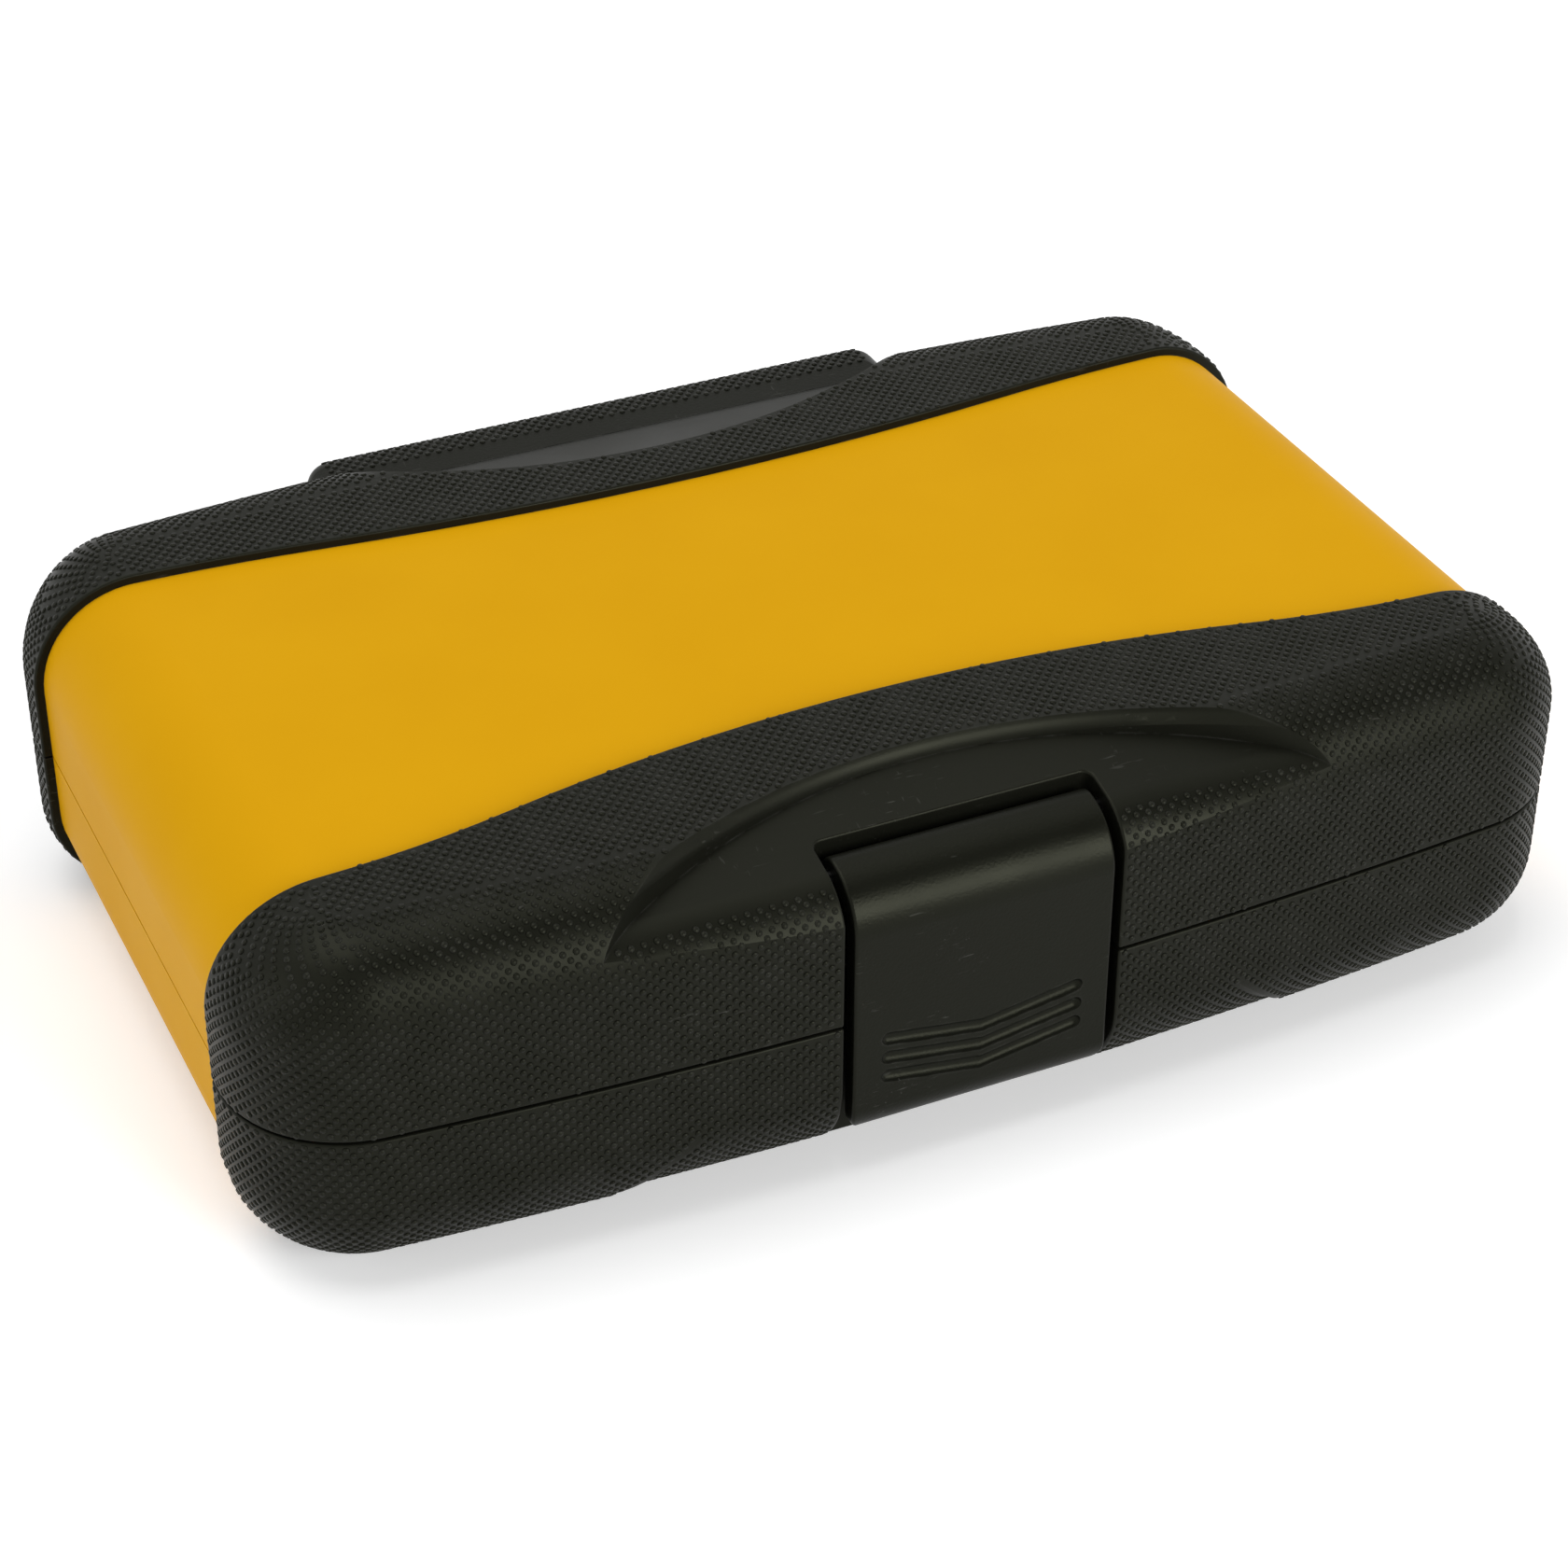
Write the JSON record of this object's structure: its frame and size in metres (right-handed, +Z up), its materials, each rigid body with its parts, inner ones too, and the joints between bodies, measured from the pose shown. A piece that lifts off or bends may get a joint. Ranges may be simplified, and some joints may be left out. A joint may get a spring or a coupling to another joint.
{
  "type": "tool case",
  "caption": "Small hinged tool case with rounded shells, dotted grip bumpers front and rear, a snap latch at the front, a pin hinge behind and a tray of open wells inside.",
  "frame": {"origin": "on the floor plane under the four feet, at the middle of the closed case's box", "axes": "+X along the case, -Y towards the latch, +Z up"},
  "size_m": [0.21, 0.1489, 0.0562],
  "materials": {
    "yellow_plastic": "satin moulded shell",
    "grip_black": "dotted grip overmould",
    "black_plastic": "satin, fine grain",
    "tray_plastic": "matt moulded tray",
    "steel": "plain zinc-plated"
  },
  "bodies": {
    "base": {"base_shell": "yellow_plastic", "base_front_bumper": "grip_black", "base_rear_bumper": "grip_black", "base_hinge_block": "black_plastic", "base_hinge_screws": "steel", "hinge_pin": "steel", "latch_keeper": "black_plastic", "tool_tray": "tray_plastic", "tray_screws": "steel"},
    "lid": {"lid_shell": "yellow_plastic", "lid_front_bumper": "grip_black", "lid_rear_bumper": "grip_black", "lid_hinge_block": "black_plastic", "lid_hinge_screws": "steel", "latch_pin": "steel"},
    "latch": {"latch": "black_plastic"}
  },
  "joints": [
    {"name": "lid_hinge", "type": "hinge", "parent": "base", "child": "lid", "pos_m": [0, 0.0705, 0.0275], "axis": [-1, 0, 0], "range_deg": [0, 175]},
    {"name": "latch_hinge", "type": "hinge", "parent": "lid", "child": "latch", "pos_m": [0, -0.0661, 0.04743], "axis": [-1, 0, 0], "range_deg": [0, 95]}
  ]
}
